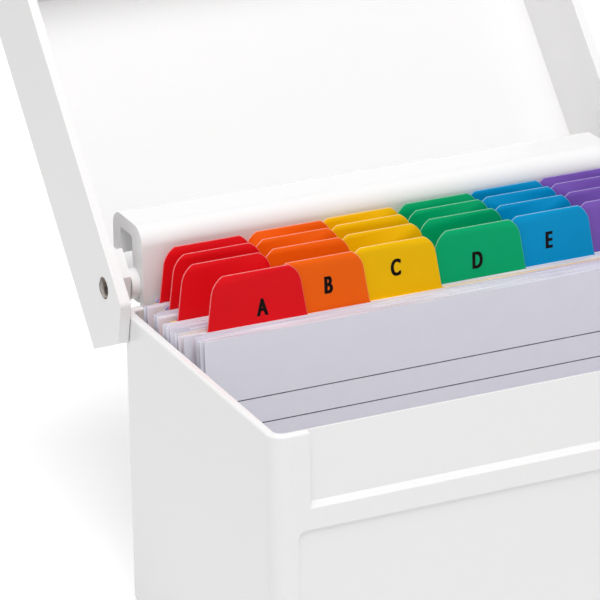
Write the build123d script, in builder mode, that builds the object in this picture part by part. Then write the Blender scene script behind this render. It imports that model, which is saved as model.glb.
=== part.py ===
from build123d import *
from math import radians, sin, cos
import os

# Index card file box with a hinged lid, 24 tabbed dividers and plain cards.
# Millimetres. +X to the right, +Y to the back, +Z up. The origin is the centre
# of the box's flat underside. The lid is open, leaning back on its hinge.

# ---- box ----
BOX_WIDTH = 137.2
BOX_DEPTH = 85.9
BOX_HEIGHT = 75.5
WALL = 2.3
FLOOR = 2.0
CORNER_RADIUS = 4.0
FOOT_RADIUS = 2.0
RIM_RADIUS = 0.7

# ---- front face: finger recess under the rim, raised band, lower panel ----
PILLAR = 9.0
RECESS_HEIGHT = 18.4
RECESS_DEPTH = 1.3
BAND_HEIGHT = 5.0
PANEL_DEPTH = 0.5
PANEL_MARGIN = 2.0
PANEL_FOOT = 7.0

# ---- hinge rail along the back, a channel open below and at both ends ----
RAIL_INSET = 5.1
RAIL_DEPTH = 18.0
RAIL_RISE = 19.4
RAIL_LEG = 10.1
RAIL_RADIUS = 4.5
END_THICKNESS = 4.0
END_FRONT_LEG = 6.2
END_BACK_LEG = 4.5
END_TOP = 3.4
END_RADIUS = 1.0
PIN_BOSS_RADIUS = 3.8
PIN_BOSS_REACH = 2.1

# ---- hinge pins ----
PIN_RADIUS = 2.6
PIN_SETBACK = 2.9
PIN_ABOVE_RIM = 4.6
PIN_CLEARANCE = 0.05
PIN_DOME = 1.2
PIN_PROUD = 0.5

# ---- lid, given in its own frame: s runs away from the pin along the plate,
# n runs from the pin towards the open side of the tray ----
LID_OPEN_ANGLE = 131.8
LID_WALL = 2.3
LID_GAP = 0.2
EAR_THICKNESS = 2.65
PLATE_DISTANCE = 16.6
PLATE_START = 7.4
SKIRT_BELOW_PIN = 7.2
FRONT_GAP = 1.25
FRONT_RAKE = 7.85
EAR_SHOULDER = 7.5
EAR_BACK = 8.2
EAR_TIP = 13.7
EAR_TIP_DEPTH = 1.6
EAR_NOSE = 7.6
BOSS_THICKNESS = 3.0
BOSS_SIDE = 4.0
STOP_REACH = 5.2
STOP_DEPTH = 1.0
LID_EDGE_RADIUS = 1.2
REST_GAP = 0.1
EAR_NOSE_RADIUS = 1.6

# ---- cards and dividers, with places given forwards from the box's back face ----
CARD_CLEARANCE = 2.8
CARD_HEIGHT = 75.6
LEAN = 2.8
FRONT_PACK_PLACE = 35.1
SHEET_THICKNESS = 0.35
SHEET_GAP = 0.08
THINNEST_PACK = 0.2
LAST_PACK = 0.75
PACK_OVERHANG = 0.6
FLOOR_GAP = 0.05
TAB_HEIGHT = 13.5
TAB_TOP_WIDTH = 21.2
TAB_BASE_WIDTH = 25.6
TAB_SHOULDER_RADIUS = 5.9
TAB_TRIM = 0.7
TAB_FOOT_RADIUS = 1.2
SHEET_CORNER = 0.8
TAB_MARGIN = 2.45
TAB_OFFSET = 0.5
TABS_PER_ROW = 6
ROW_PLACE = (29.2, 19.0, 12.1, 6.6)
ROW_STEP = (1.1, 0.62, 0.6, 0.5)
SIDE_GAP = 0.2
SIDE_SHIFT = (
    (1.4, -1.3, -1.2, 2.6, 2.6, 2.6),
    (-1.6, -0.1, 0.1, 2.6, 2.6, 2.6),
    (-0.8, 0.4, 0.5, 2.6, 2.6, 2.5),
    (-0.9, 1.0, 0.5, 2.3, 2.0, 2.0),
)

# ---- worked out from the sizes above ----
half_width = BOX_WIDTH / 2
front_y = -BOX_DEPTH / 2
back_y = BOX_DEPTH / 2
rail_front = back_y - WALL
rail_back = rail_front + RAIL_DEPTH
rail_top = BOX_HEIGHT + RAIL_RISE
pin_y = back_y + PIN_SETBACK
pin_z = BOX_HEIGHT + PIN_ABOVE_RIM
ear_inner_x = half_width + LID_GAP
lid_outer_x = ear_inner_x + EAR_THICKNESS
lid_inner_x = lid_outer_x - LID_WALL
plate_outer = PLATE_DISTANCE + LID_WALL
front_inner = pin_y - front_y + FRONT_GAP
tilt = radians(LID_OPEN_ANGLE - 90)
lean = radians(LEAN)
rail_width = BOX_WIDTH - 2 * RAIL_INSET
card_width = BOX_WIDTH - 2 * WALL - 2 * CARD_CLEARANCE
play = CARD_CLEARANCE - SIDE_GAP
front_pack_y = BOX_DEPTH - FRONT_PACK_PLACE
tab_pitch = (card_width - 2 * TAB_MARGIN - TAB_BASE_WIDTH) / (TABS_PER_ROW - 1)

os.makedirs("parts", exist_ok=True)


def finish(part, name):
    """Label a piece and write it under its own name."""
    part.label = name
    export_step(part, f"parts/{name}.step")


def across(x):
    """An upright plane that faces +X, at x across, with y and z as its axes."""
    return Plane(origin=(x, 0, 0), x_dir=(0, 1, 0), z_dir=(1, 0, 0))


def lid_plane(x):
    """The lid's own plane at x across: s along the plate, n into the tray."""
    return Plane(origin=(x, pin_y, pin_z), x_dir=(0, sin(tilt), cos(tilt)), z_dir=(1, 0, 0))


def sheet_plane(x, top_y):
    """A leaning sheet's plane: x across, y up the sheet, z towards the front."""
    foot_y = front_y + top_y - CARD_HEIGHT * sin(lean)
    return Plane(
        origin=(x, foot_y, FLOOR + FLOOR_GAP), x_dir=(1, 0, 0), z_dir=(0, -cos(lean), sin(lean))
    )


# ------------------------------------------------------------------- box
with BuildPart() as box:
    with BuildSketch():
        RectangleRounded(BOX_WIDTH, BOX_DEPTH, CORNER_RADIUS)
    extrude(amount=BOX_HEIGHT)
    fillet(box.faces().sort_by(Axis.Z)[0].edges(), FOOT_RADIUS)
    with BuildSketch(Plane.XY.offset(FLOOR)):
        RectangleRounded(BOX_WIDTH - 2 * WALL, BOX_DEPTH - 2 * WALL, CORNER_RADIUS - WALL)
    extrude(amount=BOX_HEIGHT, mode=Mode.SUBTRACT)
    rim = box.faces().filter_by(Axis.Z).sort_by(Axis.Z)[-1]
    fillet(rim.edges(), RIM_RADIUS)
    # finger recess, with a sloping ledge along its foot
    recess_width = BOX_WIDTH - 2 * PILLAR
    recess_foot = BOX_HEIGHT - RECESS_HEIGHT
    with BuildSketch(across(-recess_width / 2)):
        with BuildLine():
            Polyline(
                (front_y - WALL, BOX_HEIGHT + WALL),
                (front_y + RECESS_DEPTH, BOX_HEIGHT + WALL),
                (front_y + RECESS_DEPTH, recess_foot + RECESS_DEPTH),
                (front_y, recess_foot),
                (front_y - WALL, recess_foot),
                close=True,
            )
        make_face()
    extrude(amount=recess_width, mode=Mode.SUBTRACT)
    # lower panel, set back under the raised band
    panel_top = recess_foot - BAND_HEIGHT
    panel_width = BOX_WIDTH - 2 * (CORNER_RADIUS + PANEL_MARGIN)
    with BuildSketch(Plane(origin=(0, front_y, 0), x_dir=(1, 0, 0), z_dir=(0, 1, 0))):
        with Locations((0, -(panel_top + PANEL_FOOT) / 2)):
            RectangleRounded(panel_width, panel_top - PANEL_FOOT, PANEL_MARGIN)
    extrude(amount=PANEL_DEPTH, mode=Mode.SUBTRACT)
    # hinge rail: front skin, rounded top and short back leg, as one bent wall
    with BuildSketch(across(-rail_width / 2)):
        with Locations(((rail_front + rail_back) / 2, BOX_HEIGHT + RAIL_RISE / 2 - WALL)):
            Rectangle(RAIL_DEPTH, RAIL_RISE + 2 * WALL)
        fillet(vertices().group_by(Axis.Z)[-1], RAIL_RADIUS)
        hollow = offset(amount=-WALL, mode=Mode.PRIVATE)
        add(hollow, mode=Mode.SUBTRACT)
        with Locations(((rail_front + rail_back) / 2 + WALL / 2, BOX_HEIGHT - 2 * WALL)):
            Rectangle(RAIL_DEPTH - WALL, 4 * WALL, mode=Mode.SUBTRACT)
        with Locations((rail_back, rail_top - RAIL_LEG - RAIL_RISE)):
            Rectangle(3 * WALL, 2 * RAIL_RISE, mode=Mode.SUBTRACT)
    extrude(amount=rail_width)
    # a thicker frame at each end of the rail carries the hinge pin in a round boss
    rail_end_x = rail_width / 2
    slot_front = rail_front + END_FRONT_LEG
    slot_back = rail_back - END_BACK_LEG
    for side in (-1, 1):
        frame_start = -rail_end_x if side < 0 else rail_end_x - END_THICKNESS
        with BuildSketch(across(frame_start)):
            with Locations(((rail_front + rail_back) / 2, BOX_HEIGHT + RAIL_RISE / 2)):
                Rectangle(RAIL_DEPTH, RAIL_RISE)
            fillet(vertices().group_by(Axis.Z)[-1], RAIL_RADIUS)
            with Locations(((slot_front + slot_back) / 2, BOX_HEIGHT - END_TOP)):
                RectangleRounded(slot_back - slot_front, 2 * RAIL_RISE, END_RADIUS, mode=Mode.SUBTRACT)
            with Locations((rail_back, BOX_HEIGHT - RAIL_LEG)):
                Rectangle(2 * END_BACK_LEG + 2 * END_RADIUS, 2 * RAIL_RISE, mode=Mode.SUBTRACT)
        extrude(amount=END_THICKNESS)
        boss_start = -rail_end_x - PIN_BOSS_REACH if side < 0 else rail_end_x - END_THICKNESS
        with BuildSketch(across(boss_start)):
            with Locations((pin_y, pin_z)):
                Circle(PIN_BOSS_RADIUS)
        extrude(amount=END_THICKNESS + PIN_BOSS_REACH)
        with BuildSketch(across(boss_start)):
            with Locations((pin_y, pin_z)):
                Circle(PIN_RADIUS)
        extrude(amount=END_THICKNESS + PIN_BOSS_REACH, mode=Mode.SUBTRACT)
finish(box.part, "box")

# ------------------------------------------------------------ hinge pins
pin_length = lid_outer_x + PIN_PROUD - (rail_end_x - END_THICKNESS)
for side, name in ((-1, "hinge_pin_left"), (1, "hinge_pin_right")):
    inner_end = side * (rail_end_x - END_THICKNESS)
    facing = Plane(origin=(inner_end, pin_y, pin_z), x_dir=(0, 1, 0), z_dir=(side, 0, 0))
    with BuildPart() as hinge_pin:
        with BuildSketch(facing):
            Circle(PIN_RADIUS)
        extrude(amount=pin_length)
        tip = hinge_pin.faces().sort_by(Axis.X)[0 if side < 0 else -1]
        fillet(tip.edges(), PIN_DOME)
    finish(hinge_pin.part, name)

# ------------------------------------------------------------------- lid
front_top = front_inner - FRONT_RAKE
tray_outline = (
    (PLATE_START, -plate_outer),
    (front_top + LID_WALL, -plate_outer),
    (front_inner + LID_WALL, SKIRT_BELOW_PIN),
    (PLATE_START, SKIRT_BELOW_PIN),
)
tray_hollow = (
    (-plate_outer, -PLATE_DISTANCE),
    (front_top, -PLATE_DISTANCE),
    (front_inner, SKIRT_BELOW_PIN),
    (front_inner, plate_outer),
    (-plate_outer, plate_outer),
)
ear_outline = (
    (-EAR_BACK, -plate_outer),
    (EAR_SHOULDER, -plate_outer),
    (EAR_SHOULDER, SKIRT_BELOW_PIN),
    (-EAR_NOSE, SKIRT_BELOW_PIN),
    (-EAR_TIP, -EAR_TIP_DEPTH),
)
boss_reach = PIN_ABOVE_RIM - REST_GAP
boss_outline = (
    (-STOP_REACH, -PLATE_DISTANCE),
    (EAR_SHOULDER, -PLATE_DISTANCE),
    (EAR_SHOULDER, boss_reach),
    (0, boss_reach),
    (-BOSS_SIDE, 0),
    (-STOP_REACH, -STOP_DEPTH),
)


def is_plate_corner(edge):
    """The long outer corners between the plate and the lid's two side walls."""
    middle = lid_plane(0).to_local_coords(edge.center())
    outermost = abs(abs(edge.center().X) - lid_outer_x) < SHEET_GAP
    return outermost and abs(middle.Y + plate_outer) < SHEET_GAP and edge.length > EAR_TIP


with BuildPart() as lid:
    with BuildSketch(lid_plane(-lid_outer_x)):
        Polygon(*tray_outline, align=None)
    extrude(amount=2 * lid_outer_x)
    with BuildSketch(lid_plane(-lid_inner_x)):
        Polygon(*tray_hollow, align=None)
    extrude(amount=2 * lid_inner_x, mode=Mode.SUBTRACT)
    for start in (-lid_outer_x, ear_inner_x):
        with BuildSketch(lid_plane(start)):
            Polygon(*ear_outline, align=None)
            nose = vertices().sort_by_distance((-EAR_NOSE, SKIRT_BELOW_PIN))[0]
            fillet(nose, EAR_NOSE_RADIUS)
        extrude(amount=EAR_THICKNESS)
    fillet(lid.edges().filter_by(is_plate_corner), LID_EDGE_RADIUS)
    # bosses around the pins, inside the ears: closed they land on the rim, open they stop
    # against the box's back corner
    for start in (-ear_inner_x, ear_inner_x - BOSS_THICKNESS):
        with BuildSketch(lid_plane(start)):
            Polygon(*boss_outline, align=None)
        extrude(amount=BOSS_THICKNESS)
    with BuildSketch(lid_plane(-lid_outer_x)):
        Circle(PIN_RADIUS + PIN_CLEARANCE)
    extrude(amount=2 * lid_outer_x, mode=Mode.SUBTRACT)
finish(lid.part, "lid")

# ------------------------------------------------------ dividers and cards
sheet_places = []
for row in range(len(ROW_PLACE)):
    for column in range(TABS_PER_ROW):
        place_y = BOX_DEPTH - ROW_PLACE[row] + column * ROW_STEP[row]
        shift = min(play, max(-play, SIDE_SHIFT[row][column]))
        sheet_places.append((place_y, shift, column))

tab_top = CARD_HEIGHT + TAB_HEIGHT
for number, (place_y, shift, column) in enumerate(sheet_places):
    tab_x = (column - (TABS_PER_ROW - 1) / 2) * tab_pitch + TAB_OFFSET
    with BuildPart() as divider:
        with BuildSketch(sheet_plane(shift, place_y)):
            with Locations((0, CARD_HEIGHT / 2)):
                Rectangle(card_width, CARD_HEIGHT)
            fillet(vertices().group_by(Axis.Y)[-1], SHEET_CORNER)
            with BuildLine():
                Polyline(
                    (tab_x - TAB_BASE_WIDTH / 2, CARD_HEIGHT),
                    (tab_x - TAB_TOP_WIDTH / 2, tab_top + TAB_TRIM),
                    (tab_x + TAB_TOP_WIDTH / 2, tab_top + TAB_TRIM),
                    (tab_x + TAB_BASE_WIDTH / 2, CARD_HEIGHT),
                    close=True,
                )
            make_face()
            fillet(vertices().group_by(Axis.Y)[-1], TAB_SHOULDER_RADIUS)
            with Locations((tab_x, tab_top + TAB_TRIM)):
                Rectangle(TAB_BASE_WIDTH, 2 * TAB_TRIM, mode=Mode.SUBTRACT)
            feet = [
                v for v in vertices()
                if abs(abs(v.X - tab_x) - TAB_BASE_WIDTH / 2) < SHEET_GAP and v.Y > 0
            ]
            fillet(feet, TAB_FOOT_RADIUS)
        extrude(amount=SHEET_THICKNESS)
    finish(divider.part, "divider_" + chr(ord("a") + number))

# plain cards fill each gap between two sheets that is wide enough for them
pack_bounds = [(front_pack_y, sheet_places[0][0], sheet_places[0][1])]
for (before_y, before_x, _), (after_y, after_x, _) in zip(sheet_places, sheet_places[1:]):
    pack_bounds.append((before_y, after_y, max(-play, min(before_x, after_x) - PACK_OVERHANG)))
last_y, last_x, _ = sheet_places[-1]
pack_bounds.append((last_y, last_y + LAST_PACK + SHEET_THICKNESS + SHEET_GAP, last_x))
pack_number = 0
for start_y, end_y, shift in pack_bounds:
    thickness = (end_y - start_y) * cos(lean) - SHEET_THICKNESS - 2 * SHEET_GAP
    if thickness < THINNEST_PACK:
        continue
    back_of_pack = end_y - (SHEET_THICKNESS + SHEET_GAP) / cos(lean)
    with BuildPart() as card_pack:
        with BuildSketch(sheet_plane(shift, back_of_pack)):
            with Locations((0, CARD_HEIGHT / 2)):
                Rectangle(card_width, CARD_HEIGHT)
        extrude(amount=thickness)
    pack_number += 1
    finish(card_pack.part, f"card_pack_{pack_number:02d}")
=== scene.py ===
"""An index card file box with its lid open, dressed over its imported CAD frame.

White gloss plastic box and lid, steel hinge pins, coloured tab dividers with their letters,
and stacks of thin ruled cards between them. Everything is in metres, in the part's own frame.
"""
import math

import bmesh
import bpy
from mathutils import Matrix, Vector


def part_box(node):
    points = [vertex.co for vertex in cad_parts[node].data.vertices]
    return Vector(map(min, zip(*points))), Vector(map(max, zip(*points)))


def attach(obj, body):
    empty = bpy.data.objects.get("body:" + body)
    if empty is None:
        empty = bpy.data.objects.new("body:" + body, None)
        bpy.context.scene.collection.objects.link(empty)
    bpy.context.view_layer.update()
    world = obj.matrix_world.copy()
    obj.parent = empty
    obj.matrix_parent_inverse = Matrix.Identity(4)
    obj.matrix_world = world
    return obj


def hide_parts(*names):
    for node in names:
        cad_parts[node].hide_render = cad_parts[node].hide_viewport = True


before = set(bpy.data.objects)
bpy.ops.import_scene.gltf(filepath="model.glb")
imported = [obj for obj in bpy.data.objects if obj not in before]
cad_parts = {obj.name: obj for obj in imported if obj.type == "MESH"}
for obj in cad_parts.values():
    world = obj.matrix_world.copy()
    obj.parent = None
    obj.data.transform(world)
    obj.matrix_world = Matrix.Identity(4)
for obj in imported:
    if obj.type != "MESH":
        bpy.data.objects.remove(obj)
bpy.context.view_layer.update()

MM = 0.001

# The part's own sizes that the cards and letters are placed by, in metres.
CARD_HEIGHT = 75.6 * MM
CARD_WIDTH = 127 * MM
CARD_FOOT_Z = 2.05 * MM
LEAN = math.radians(2.8)
TAB_PITCH = 19.3 * MM
TAB_OFFSET = 0.5 * MM
TABS_PER_ROW = 6
DIVIDERS = 24
CARD_PACKS = 10
BOX_INNER_WIDTH = 132.6 * MM

# Index card stock and its ruling.
STOCK_THICKNESS = 0.21 * MM
STOCK_PITCH = 0.27 * MM
RULE_HEADER = 15.05 * MM
RULE_SPACING = 6.35 * MM
RULE_WIDTH = 0.27 * MM

# How the cards of a stack stand: out of line by at most this, clear of the box and each other.
SIDE_PLAY = 0.9 * MM
LEAST_SIDE_PLAY = 0.1 * MM
WALL_GAP = 0.15 * MM
CARD_LIFT = 0.5 * MM
CARD_TRIM = 0.1 * MM
CARD_TURN = math.radians(0.2)
CARD_TILT = math.radians(0.04)
STACK_FOOT_GAP = 0.14 * MM
FULLEST_PITCH = 0.8
TURN_SEED, SLIDE_SEED = 3, 11

# The letters: a capital's height, its width as a share of the font's, and the shifts, in the
# font's own units, at which it is repeated to make it heavier.
LETTER_HEIGHT = 4.2 * MM
LETTER_NARROWING = 0.64
LETTER_STROKES = (-0.045, 0.0, 0.045)
LETTER_SWELL = 0.02
INK_DEPTH = 0.003
INK_GAP = 0.004 * MM
# Each column's letters stand a little off: across from the tab's middle, and up from its foot.
LETTER_ACROSS = (1.3 * MM, 2.2 * MM, 0.8 * MM, -0.2 * MM, 0.4 * MM, 0.5 * MM)
LETTER_RISE = (2.3 * MM, 4.3 * MM, 5.1 * MM, 2.8 * MM, 4.1 * MM, 3.5 * MM)

# Edges: the radius of the mouldings' softened edges, and the chamfer of a divider's cut edge.
BOX_EDGE = 0.35 * MM
LID_EDGE = 0.3 * MM
SHEET_CHAMFER = 0.11 * MM
SAME_PLACE = 1e-6
FLAT_ANGLE = math.radians(0.6)
EDGE_ANGLE = math.radians(32)
CHAMFER_ANGLE = math.radians(60)
FACING = 0.9

# The photograph's camera, fitted to it.
CAMERA_PLACE = (-0.36963, -0.71441, 0.39830)
CAMERA_AZIMUTH = math.radians(24.7)
CAMERA_ELEVATION = math.radians(21.56)
CAMERA_ROLL = math.radians(-0.84)
CAMERA_SENSOR = 36.0
CAMERA_LENS = 223.2
CAMERA_SHIFT = (-0.0046, 0.0012)
CAMERA_RANGE = (0.02, 30)

# The studio: light of the surroundings, the floor's own glow, and two lamps by their place,
# size in metres and power in watts.
SURROUNDINGS_LIGHT = 0.56
SURROUNDINGS_SEEN = 1.0
FLOOR_COLOUR = (0.82, 0.82, 0.82)
FLOOR_GLOW = 0.38
FLOOR_REACH = 6.0
FLOOR_DROP = 0.0002
LAMP_AIM = (0, 0, 0.06)
KEY_LAMP = ((-0.15, -0.42, 1.28), 0.7, 10.8)
FILL_LAMP = ((-1.1, -0.2, 0.55), 0.8, 0.2)
WHITE = (1, 1, 1, 1)

TAB_COLOURS = {
    "red": (0.82, 0.006, 0.012),
    "orange": (0.97, 0.14, 0.004),
    "yellow": (0.98, 0.56, 0.0),
    "green": (0.0, 0.43, 0.165),
    "blue": (0.0, 0.32, 0.65),
    "purple": (0.22, 0.11, 0.50),
}


# ------------------------------------------------------------------ materials
def new_material(name):
    """An empty node material with its shader, and the node that reads Object coordinates."""
    material = bpy.data.materials.new(name)
    material.use_nodes = True
    nodes, links = material.node_tree.nodes, material.node_tree.links
    nodes.clear()
    out = nodes.new("ShaderNodeOutputMaterial")
    shader = nodes.new("ShaderNodeBsdfPrincipled")
    place = nodes.new("ShaderNodeTexCoord")
    links.new(shader.outputs["BSDF"], out.inputs["Surface"])
    return material, nodes, links, shader, place.outputs["Object"]


def noise(nodes, links, place, scale, detail=3.0, stretch=None):
    """A noise over Object coordinates, stretched along an axis where a stretch is given."""
    if stretch is not None:
        mapping = nodes.new("ShaderNodeMapping")
        mapping.inputs["Scale"].default_value = stretch
        links.new(place, mapping.inputs["Vector"])
        place = mapping.outputs["Vector"]
    node = nodes.new("ShaderNodeTexNoise")
    node.inputs["Scale"].default_value = scale
    node.inputs["Detail"].default_value = detail
    links.new(place, node.inputs["Vector"])
    return node.outputs["Fac"]


def between(nodes, links, factor, low, high, from_low=0.3, from_high=0.7):
    """factor taken from one range of values to another."""
    node = nodes.new("ShaderNodeMapRange")
    node.inputs["From Min"].default_value = from_low
    node.inputs["From Max"].default_value = from_high
    node.inputs["To Min"].default_value = low
    node.inputs["To Max"].default_value = high
    links.new(factor, node.inputs["Value"])
    return node.outputs["Result"]


def mix(nodes, links, factor, first, second):
    """A colour between two others; either may be a colour or another node's output."""
    node = nodes.new("ShaderNodeMix")
    node.data_type = "RGBA"
    links.new(factor, node.inputs["Factor"])
    colour_inputs = [s for s in node.inputs if s.type == "RGBA"]
    for socket, value in zip(colour_inputs, (first, second)):
        if isinstance(value, (tuple, list)):
            socket.default_value = (*value, 1.0)
        else:
            links.new(value, socket)
    return next(s for s in node.outputs if s.type == "RGBA")


def calculate(nodes, links, operation, *values):
    """A math node over numbers and other nodes' outputs."""
    node = nodes.new("ShaderNodeMath")
    node.operation = operation
    for socket, value in zip(node.inputs, values):
        if isinstance(value, (int, float)):
            socket.default_value = value
        else:
            links.new(value, socket)
    return node.outputs[0]


def colour_by(nodes, links, shader, factor, first, second, from_low=0.3, from_high=0.7):
    """Colour the shader between two colours by a factor's range of values."""
    share = between(nodes, links, factor, 0, 1, from_low, from_high)
    links.new(mix(nodes, links, share, first, second), shader.inputs["Base Color"])


def roughness_by(nodes, links, shader, factor, low, high, from_low=0.3, from_high=0.7):
    """Vary the shader's roughness between two values by a factor's range of values."""
    links.new(between(nodes, links, factor, low, high, from_low, from_high),
              shader.inputs["Roughness"])


def bump(nodes, links, shader, height, distance, strength):
    """Small relief from a height, with its depth in metres."""
    node = nodes.new("ShaderNodeBump")
    node.inputs["Strength"].default_value = strength
    node.inputs["Distance"].default_value = distance
    links.new(height, node.inputs["Height"])
    links.new(node.outputs["Normal"], shader.inputs["Normal"])


def moulded_plastic(name):
    """Smooth white moulded plastic: slow waves in its gloss and the faintest orange peel."""
    material, nodes, links, shader, place = new_material(name)
    clouds = noise(nodes, links, place, 9.0, 2.0)
    colour_by(nodes, links, shader, clouds, (0.884, 0.878, 0.880), (0.872, 0.866, 0.867), 0.0, 1.0)
    sheen_waves = noise(nodes, links, place, 30.0, 1.0)
    roughness_by(nodes, links, shader, sheen_waves, 0.17, 0.23, 0.0, 1.0)
    peel = noise(nodes, links, place, 900.0, 2.0)
    bump(nodes, links, shader, peel, 0.004 * MM, 0.35)
    shader.inputs["IOR"].default_value = 1.53
    shader.inputs["Subsurface Weight"].default_value = 0.08
    shader.inputs["Subsurface Radius"].default_value = (1.0, 0.85, 0.7)
    shader.inputs["Subsurface Scale"].default_value = 1.2 * MM
    return material


def turned_steel(name):
    """Plain steel pin stock: dark, with painted reflection and painted highlight in patches of its
    colour, and fine specks in its gloss.
    """
    material, nodes, links, shader, place = new_material(name)
    # Painted reflection: dark and bright patches in the colour stand in for the studio's
    # reflections and a highlight on the pin.
    painted_reflection = noise(nodes, links, place, 340.0, 1.0)
    colour_by(nodes, links, shader, painted_reflection, (0.06, 0.047, 0.04), (0.27, 0.225, 0.195), 0.4, 0.6)
    specks = noise(nodes, links, place, 1500.0, 4.0)
    roughness_by(nodes, links, shader, specks, 0.2, 0.32)
    bump(nodes, links, shader, specks, 0.01 * MM, 0.3)
    shader.inputs["Metallic"].default_value = 1.0
    return material


def coated_card(name, colour):
    """A divider's face: one even colour with a paper tooth under a satin coating."""
    material, nodes, links, shader, place = new_material(name)
    clouds = noise(nodes, links, place, 45.0, 4.0)
    deep = tuple(c * 0.93 for c in colour)
    colour_by(nodes, links, shader, clouds, colour, deep)
    tooth = noise(nodes, links, place, 2600.0)
    roughness_by(nodes, links, shader, tooth, 0.36, 0.46)
    bump(nodes, links, shader, tooth, 0.008 * MM, 0.3)
    shader.inputs["Specular IOR Level"].default_value = 0.12
    return material


def cut_edge(name, colour):
    """A divider's cut edge: the pale core of the card, tinted by its coating."""
    material, nodes, links, shader, place = new_material(name)
    fibres = noise(nodes, links, place, 1800.0)
    pale = tuple(0.24 + 0.7 * c for c in colour)
    tinted = tuple(0.12 + 0.82 * c for c in colour)
    colour_by(nodes, links, shader, fibres, pale, tinted)
    roughness_by(nodes, links, shader, fibres, 0.5, 0.7)
    return material


def rules_up_the_card(nodes, links, place):
    """1 on the printed rules and 0 between them, from the header line down the card."""
    split = nodes.new("ShaderNodeSeparateXYZ")
    links.new(place, split.inputs["Vector"])
    rise = math.cos(LEAN)
    header_z = CARD_FOOT_Z + (CARD_HEIGHT - RULE_HEADER) * rise
    down = calculate(nodes, links, "SUBTRACT", header_z + RULE_WIDTH / 2, split.outputs["Z"])
    turns = calculate(nodes, links, "WRAP", down, RULE_SPACING * rise, 0.0)
    printed = calculate(nodes, links, "LESS_THAN", turns, RULE_WIDTH)
    below_header = calculate(nodes, links, "GREATER_THAN", down, 0.0)
    return calculate(nodes, links, "MULTIPLY", printed, below_header)


def ruled_card(name):
    """An index card's face: smooth white stock with its printed rules."""
    material, nodes, links, shader, place = new_material(name)
    mottle = between(nodes, links, noise(nodes, links, place, 160.0, 4.0), 0, 1)
    stock = mix(nodes, links, mottle, (0.865, 0.857, 0.945), (0.85, 0.842, 0.93))
    ink_fade = between(nodes, links, noise(nodes, links, place, 700.0, 2.0), 0.85, 1.0)
    rules = rules_up_the_card(nodes, links, place)
    strength = calculate(nodes, links, "MULTIPLY", rules, ink_fade)
    links.new(mix(nodes, links, strength, stock, (0.035, 0.035, 0.055)),
              shader.inputs["Base Color"])
    fibres = noise(nodes, links, place, 2200.0)
    roughness_by(nodes, links, shader, fibres, 0.55, 0.7)
    bump(nodes, links, shader, fibres, 0.006 * MM, 0.3)
    return material


def card_edge(name):
    """The cut edges of a stack of cards, streaked lighter and darker; the dark streaks are painted
    shade of the gaps between the cards.
    """
    material, nodes, links, shader, place = new_material(name)
    # Painted shade: thin dark streaks across the edges stand in for the shaded gaps between the
    # cards.
    gap_shade_streaks = noise(nodes, links, place, 1250.0, 2.0, stretch=(0.03, 1.0, 0.03))
    colour_by(nodes, links, shader, gap_shade_streaks, (0.89, 0.87, 0.91), (0.50, 0.45, 0.53), 0.42, 0.62)
    roughness_by(nodes, links, shader, gap_shade_streaks, 0.6, 0.75)
    return material


def printing_ink(name):
    """Dark printed ink, a little uneven where it sits on the card."""
    material, nodes, links, shader, place = new_material(name)
    density = noise(nodes, links, place, 1500.0)
    colour_by(nodes, links, shader, density, (0.010, 0.005, 0.005), (0.022, 0.012, 0.011))
    roughness_by(nodes, links, shader, density, 0.5, 0.65)
    shader.inputs["Specular IOR Level"].default_value = 0.15
    return material


# --------------------------------------------------------------------- shapes
def link(obj):
    """Put a new object in the scene."""
    bpy.context.scene.collection.objects.link(obj)
    return obj


def merged_copy(node, name):
    """A copy of a CAD node's mesh with its loose triangles merged into whole flat faces."""
    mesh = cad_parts[node].data.copy()
    mesh.name = name
    mesh.materials.clear()
    shape = bmesh.new()
    shape.from_mesh(mesh)
    bmesh.ops.remove_doubles(shape, verts=shape.verts, dist=SAME_PLACE)
    bmesh.ops.dissolve_limit(shape, angle_limit=FLAT_ANGLE, verts=shape.verts, edges=shape.edges)
    shape.to_mesh(mesh)
    shape.free()
    return link(bpy.data.objects.new(name, mesh))


def apply_modifiers(obj):
    """Turn an object with modifiers into a plain mesh of its finished shape."""
    depsgraph = bpy.context.evaluated_depsgraph_get()
    finished = bpy.data.meshes.new_from_object(obj.evaluated_get(depsgraph),
                                               preserve_all_data_layers=True,
                                               depsgraph=depsgraph)
    obj.modifiers.clear()
    old = obj.data
    obj.data = finished
    finished.name = obj.name
    if old.users == 0:
        bpy.data.meshes.remove(old)
    return obj


def smooth_by_angle(mesh, degrees):
    """Smooth shading that keeps the edges sharper than this angle crisp."""
    mesh.shade_smooth()
    mesh.set_sharp_from_angle(angle=math.radians(degrees))


def moulded_piece(node, body, material, radius):
    """A moulded plastic node with its remaining sharp edges softened, in the node's place."""
    piece = merged_copy(node, node + "_moulding")
    piece.data.materials.append(material)
    soften = piece.modifiers.new("soften", "BEVEL")
    soften.width = radius
    soften.segments = 3
    soften.limit_method = "ANGLE"
    soften.angle_limit = EDGE_ANGLE
    soften.use_clamp_overlap = True
    apply_modifiers(piece)
    smooth_by_angle(piece.data, 40)
    even = piece.modifiers.new("even", "WEIGHTED_NORMAL")
    even.keep_sharp = True
    apply_modifiers(piece)
    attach(piece, body)
    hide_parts(node)
    return piece


def divider_piece(node, face_material, edge_material):
    """A divider sheet whose pale cut edge runs round its coloured faces."""
    piece = merged_copy(node, node + "_sheet")
    piece.data.materials.append(face_material)
    piece.data.materials.append(edge_material)
    for polygon in piece.data.polygons:
        polygon.material_index = 0 if abs(polygon.normal.y) > FACING else 1
    chamfer = piece.modifiers.new("cut", "BEVEL")
    chamfer.width = SHEET_CHAMFER
    chamfer.segments = 1
    chamfer.limit_method = "ANGLE"
    chamfer.angle_limit = CHAMFER_ANGLE
    chamfer.material = 1
    apply_modifiers(piece)
    smooth_by_angle(piece.data, 35)
    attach(piece, "card_set")
    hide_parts(node)
    return piece


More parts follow.
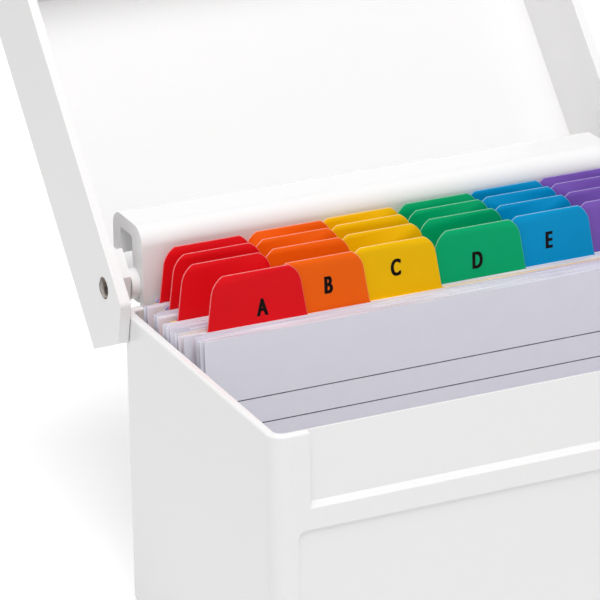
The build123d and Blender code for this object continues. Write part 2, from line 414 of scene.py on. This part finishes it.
def random_vector(nodes, links, low_xyz, high_xyz, seed, seed_shift):
    """A random vector between two corners, each given as one socket per axis or none for zero."""
    node = nodes.new("FunctionNodeRandomValue")
    node.data_type = "FLOAT_VECTOR"
    corners = [s for s in node.inputs if s.type == "VECTOR"]
    for corner, values in zip(corners, (low_xyz, high_xyz)):
        join = nodes.new("ShaderNodeCombineXYZ")
        for axis, value in zip("XYZ", values):
            if value is not None:
                links.new(value, join.inputs[axis])
        links.new(join.outputs[0], corner)
    shifted_seed = calculate(nodes, links, "ADD", seed, seed_shift)
    links.new(shifted_seed, next(s for s in node.inputs if s.name == "Seed"))
    return next(s for s in node.outputs if s.type == "VECTOR")


def standing_card(nodes, links, card_size):
    """One card that stands on its own middle."""
    card = nodes.new("GeometryNodeMeshCube")
    links.new(card_size, card.inputs["Size"])
    half_up = nodes.new("ShaderNodeVectorMath")
    half_up.operation = "MULTIPLY"
    half_up.inputs[1].default_value = (0, 0, 0.5)
    links.new(card_size, half_up.inputs[0])
    stand = nodes.new("GeometryNodeTransform")
    links.new(card.outputs["Mesh"], stand.inputs["Geometry"])
    links.new(half_up.outputs[0], stand.inputs["Translation"])
    return stand.outputs["Geometry"]


def row_of_points(nodes, links, count, pitch):
    """Points one pitch apart along Y."""
    offset = nodes.new("ShaderNodeCombineXYZ")
    links.new(pitch, offset.inputs["Y"])
    row = nodes.new("GeometryNodeMeshLine")
    links.new(count, row.inputs["Count"])
    links.new(offset.outputs[0], row.inputs["Offset"])
    return row.outputs["Mesh"]


def jumbled_cards(nodes, links, given):
    """The cards on their row of points, each turned and slid a little at random."""
    tilt, turn, play = (
        (calculate(nodes, links, "MULTIPLY", given[name], -1.0), given[name])
        for name in ("Tilt", "Turn", "Side play")
    )
    turned = random_vector(nodes, links, (tilt[0], turn[0], None), (tilt[1], turn[1], None),
                           given["Seed"], TURN_SEED)
    placed = nodes.new("GeometryNodeInstanceOnPoints")
    links.new(row_of_points(nodes, links, given["Count"], given["Pitch"]),
              placed.inputs["Points"])
    links.new(standing_card(nodes, links, given["Card size"]), placed.inputs["Instance"])
    links.new(turned, placed.inputs["Rotation"])
    slid = nodes.new("GeometryNodeTranslateInstances")
    links.new(placed.outputs["Instances"], slid.inputs["Instances"])
    links.new(random_vector(nodes, links, (play[0], None, None), (play[1], None, given["Lift"]),
                            given["Seed"], SLIDE_SEED), slid.inputs["Translation"])
    return slid.outputs["Instances"]


def with_materials(nodes, links, geometry, face_material, edge_material):
    """The edge material everywhere but on the faces that look along Y."""
    edges = nodes.new("GeometryNodeSetMaterial")
    edges.inputs["Material"].default_value = edge_material
    links.new(geometry, edges.inputs["Geometry"])
    normal = nodes.new("GeometryNodeInputNormal")
    split = nodes.new("ShaderNodeSeparateXYZ")
    links.new(normal.outputs["Normal"], split.inputs["Vector"])
    along_y = calculate(nodes, links, "ABSOLUTE", split.outputs["Y"])
    faces = nodes.new("GeometryNodeSetMaterial")
    faces.inputs["Material"].default_value = face_material
    links.new(edges.outputs["Geometry"], faces.inputs["Geometry"])
    links.new(calculate(nodes, links, "GREATER_THAN", along_y, FACING),
              faces.inputs["Selection"])
    return faces.outputs["Geometry"]


def card_stack_tree(face_material, edge_material):
    """Geometry Nodes that make a stack of thin cards, each a little out of line."""
    tree = bpy.data.node_groups.new("card_stack", "GeometryNodeTree")
    tree.interface.new_socket("Geometry", in_out="INPUT", socket_type="NodeSocketGeometry")
    tree.interface.new_socket("Geometry", in_out="OUTPUT", socket_type="NodeSocketGeometry")
    for socket_name, kind in (("Card size", "Vector"), ("Count", "Int"), ("Pitch", "Float"),
                              ("Side play", "Float"), ("Lift", "Float"), ("Turn", "Float"),
                              ("Tilt", "Float"), ("Seed", "Int")):
        tree.interface.new_socket(socket_name, in_out="INPUT", socket_type="NodeSocket" + kind)
    nodes, links = tree.nodes, tree.links
    given = nodes.new("NodeGroupInput").outputs
    result = nodes.new("NodeGroupOutput")
    real = nodes.new("GeometryNodeRealizeInstances")
    links.new(jumbled_cards(nodes, links, given), real.inputs["Geometry"])
    links.new(with_materials(nodes, links, real.outputs["Geometry"], face_material,
                             edge_material), result.inputs["Geometry"])
    return tree


def set_inputs(modifier, values):
    """Give a Geometry Nodes modifier its values, each by its socket's identifier."""
    for item in modifier.node_group.interface.items_tree:
        if item.item_type == "SOCKET" and item.in_out == "INPUT" and item.name in values:
            modifier[item.identifier] = values[item.name]


def card_pack_piece(node, tree, seed):
    """The cards of one pack, in the place and thickness that its CAD block has."""
    low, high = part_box(node)
    lean_depth = CARD_HEIGHT * math.sin(LEAN)
    thickness = (high.y - low.y - lean_depth) / math.cos(LEAN)
    count = max(1, round(thickness / STOCK_PITCH))
    pitch = thickness / count
    middle = (low.x + high.x) / 2
    wall_play = BOX_INNER_WIDTH / 2 - CARD_WIDTH / 2 - WALL_GAP
    side_play = min(SIDE_PLAY, wall_play - abs(middle))
    stack = link(bpy.data.objects.new(node + "_cards", bpy.data.meshes.new(node + "_cards")))
    modifier = stack.modifiers.new("stack", "NODES")
    modifier.node_group = tree
    card_thickness = min(STOCK_THICKNESS, pitch * FULLEST_PITCH)
    set_inputs(modifier, {
        "Card size": (CARD_WIDTH, card_thickness, CARD_HEIGHT - CARD_TRIM),
        "Count": count, "Pitch": -pitch, "Side play": max(LEAST_SIDE_PLAY, side_play),
        "Lift": CARD_LIFT, "Turn": CARD_TURN, "Tilt": CARD_TILT, "Seed": seed,
    })
    apply_modifiers(stack)
    foot = Vector((middle, high.y - lean_depth, low.z + STACK_FOOT_GAP))
    stack.data.transform(Matrix.Translation(foot) @ Matrix.Rotation(-LEAN, 4, "X")
                         @ Matrix.Translation((0, -pitch / 2, 0)))
    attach(stack, "card_set")
    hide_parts(node)
    return stack


def letter_mesh(letter):
    """One bold narrow capital, centred across and standing on its own foot line."""
    curve = bpy.data.curves.new("letter", "FONT")
    curve.body = letter
    curve.offset = LETTER_SWELL
    curve.extrude = INK_DEPTH
    holder = link(bpy.data.objects.new("letter", curve))
    depsgraph = bpy.context.evaluated_depsgraph_get()
    mesh = bpy.data.meshes.new_from_object(holder.evaluated_get(depsgraph))
    bpy.data.objects.remove(holder)
    bpy.data.curves.remove(curve)
    xs = [v.co.x for v in mesh.vertices]
    ys = [v.co.y for v in mesh.vertices]
    scale = LETTER_HEIGHT / (max(ys) - min(ys))
    heavy = bmesh.new()
    for shift in LETTER_STROKES:
        stroke = mesh.copy()
        middle = (min(xs) + max(xs)) / 2 - shift
        stroke.transform(Matrix.Diagonal((scale * LETTER_NARROWING, scale, scale, 1))
                         @ Matrix.Translation((-middle, -min(ys), 0)))
        heavy.from_mesh(stroke)
        bpy.data.meshes.remove(stroke)
    heavy.to_mesh(mesh)
    heavy.free()
    return mesh


def letter_place(number):
    """Where a divider's letter goes: on its tab's front, upright along the leaning sheet."""
    low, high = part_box("divider_" + chr(ord("a") + number))
    column = number % TABS_PER_ROW
    tab_middle = (column - (TABS_PER_ROW - 1) / 2) * TAB_PITCH + TAB_OFFSET
    middle = (low.x + high.x) / 2 + tab_middle + LETTER_ACROSS[column]
    card_top_z = CARD_FOOT_Z + CARD_HEIGHT * math.cos(LEAN)
    foot = Vector((middle, low.y + CARD_HEIGHT * math.sin(LEAN), card_top_z))
    up = Vector((0, math.sin(LEAN), math.cos(LEAN)))
    out = Vector((0, -math.cos(LEAN), math.sin(LEAN)))
    place = Matrix.Translation(foot + up * LETTER_RISE[column] + out * INK_GAP)
    return place @ Matrix.Rotation(math.radians(90) - LEAN, 4, "X")


def index_letters(material):
    """The letters printed on the tabs, A at the front left to X at the back right."""
    joined = bmesh.new()
    for number in range(DIVIDERS):
        mesh = letter_mesh(chr(ord("A") + number))
        mesh.transform(letter_place(number))
        joined.from_mesh(mesh)
        bpy.data.meshes.remove(mesh)
    mesh = bpy.data.meshes.new("index_letters")
    joined.to_mesh(mesh)
    joined.free()
    mesh.materials.append(material)
    letters = link(bpy.data.objects.new("index_letters", mesh))
    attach(letters, "card_set")
    return letters


# ------------------------------------------------------ floor, light, camera
def floor_material():
    """A pale floor that the camera and gloss see as white where no shadow falls on it."""
    material = bpy.data.materials.new("pale_floor")
    material.use_nodes = True
    nodes, links = material.node_tree.nodes, material.node_tree.links
    nodes.clear()
    out = nodes.new("ShaderNodeOutputMaterial")
    matt = nodes.new("ShaderNodeBsdfDiffuse")
    matt.inputs["Color"].default_value = (*FLOOR_COLOUR, 1)
    glow = nodes.new("ShaderNodeEmission")
    glow.inputs["Color"].default_value = WHITE
    path = nodes.new("ShaderNodeLightPath")
    seen = calculate(nodes, links, "MAXIMUM", path.outputs["Is Camera Ray"],
                     path.outputs["Is Glossy Ray"])
    links.new(calculate(nodes, links, "MULTIPLY", seen, FLOOR_GLOW), glow.inputs["Strength"])
    both = nodes.new("ShaderNodeAddShader")
    links.new(matt.outputs[0], both.inputs[0])
    links.new(glow.outputs[0], both.inputs[1])
    links.new(both.outputs[0], out.inputs["Surface"])
    return material


def make_floor():
    """A wide plain floor just under the box's underside."""
    mesh = bpy.data.meshes.new("floor")
    corners = [(x * FLOOR_REACH, y * FLOOR_REACH, -FLOOR_DROP)
               for x, y in ((-1, -1), (1, -1), (1, 1), (-1, 1))]
    mesh.from_pydata(corners, [], [(0, 1, 2, 3)])
    mesh.materials.append(floor_material())
    link(bpy.data.objects.new("floor", mesh))


def make_world():
    """Even white surroundings, brighter where the camera looks straight at them."""
    world = bpy.data.worlds.new("studio")
    bpy.context.scene.world = world
    world.use_nodes = True
    nodes, links = world.node_tree.nodes, world.node_tree.links
    back = nodes["Background"]
    back.inputs["Color"].default_value = WHITE
    path = nodes.new("ShaderNodeLightPath")
    level = nodes.new("ShaderNodeMapRange")
    level.inputs["To Min"].default_value = SURROUNDINGS_LIGHT
    level.inputs["To Max"].default_value = SURROUNDINGS_SEEN
    links.new(path.outputs["Is Camera Ray"], level.inputs["Value"])
    links.new(level.outputs["Result"], back.inputs["Strength"])


def soft_light(name, place, size, power):
    """A large square studio lamp turned to the box."""
    lamp = bpy.data.lights.new(name, "AREA")
    lamp.size = size
    lamp.energy = power
    holder = link(bpy.data.objects.new(name, lamp))
    holder.location = place
    aim = Vector(LAMP_AIM) - Vector(place)
    holder.rotation_euler = aim.to_track_quat("-Z", "Y").to_euler()


def make_camera():
    """The photograph's camera: from the front left and above, with a long lens."""
    level = math.cos(CAMERA_ELEVATION)
    forward = Vector((math.sin(CAMERA_AZIMUTH) * level, math.cos(CAMERA_AZIMUTH) * level,
                      -math.sin(CAMERA_ELEVATION)))
    right = Vector((math.cos(CAMERA_AZIMUTH), -math.sin(CAMERA_AZIMUTH), 0))
    up = right.cross(forward)
    across = right * math.cos(CAMERA_ROLL) + up * math.sin(CAMERA_ROLL)
    above = up * math.cos(CAMERA_ROLL) - right * math.sin(CAMERA_ROLL)
    lens = bpy.data.cameras.new("camera")
    lens.sensor_width = CAMERA_SENSOR
    lens.lens = CAMERA_LENS
    lens.shift_x, lens.shift_y = CAMERA_SHIFT
    lens.clip_start, lens.clip_end = CAMERA_RANGE
    camera = link(bpy.data.objects.new("camera", lens))
    turn = Matrix((across, above, -forward)).transposed()
    camera.matrix_world = Matrix.Translation(CAMERA_PLACE) @ turn.to_4x4()
    bpy.context.scene.camera = camera


# --------------------------------------------------------------------- making
def dress_box_and_lid():
    """The white mouldings and the steel pins that join them."""
    plastic = moulded_plastic("white_moulded_plastic")
    moulded_piece("box", "box", plastic, BOX_EDGE)
    moulded_piece("lid", "lid", plastic, LID_EDGE)
    steel = turned_steel("pin_steel")
    for side in ("left", "right"):
        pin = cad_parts["hinge_pin_" + side]
        pin.data.materials.clear()
        pin.data.materials.append(steel)


def dress_cards():
    """The dividers, their letters and the stacks of cards between them."""
    colours = list(TAB_COLOURS)
    faces = {c: coated_card("coated_card_" + c, TAB_COLOURS[c]) for c in colours}
    edges = {c: cut_edge("cut_edge_" + c, TAB_COLOURS[c]) for c in colours}
    for number in range(DIVIDERS):
        colour = colours[number % TABS_PER_ROW]
        divider_piece("divider_" + chr(ord("a") + number), faces[colour], edges[colour])
    index_letters(printing_ink("printing_ink"))
    tree = card_stack_tree(ruled_card("ruled_card"), card_edge("card_edge"))
    for number in range(1, CARD_PACKS + 1):
        card_pack_piece(f"card_pack_{number:02d}", tree, number)


def light_the_scene():
    """Floor, surroundings, lamps and camera."""
    make_floor()
    make_world()
    soft_light("key", *KEY_LAMP)
    soft_light("fill", *FILL_LAMP)
    make_camera()


bpy.context.scene.view_settings.view_transform = "Standard"
dress_box_and_lid()
dress_cards()
light_the_scene()
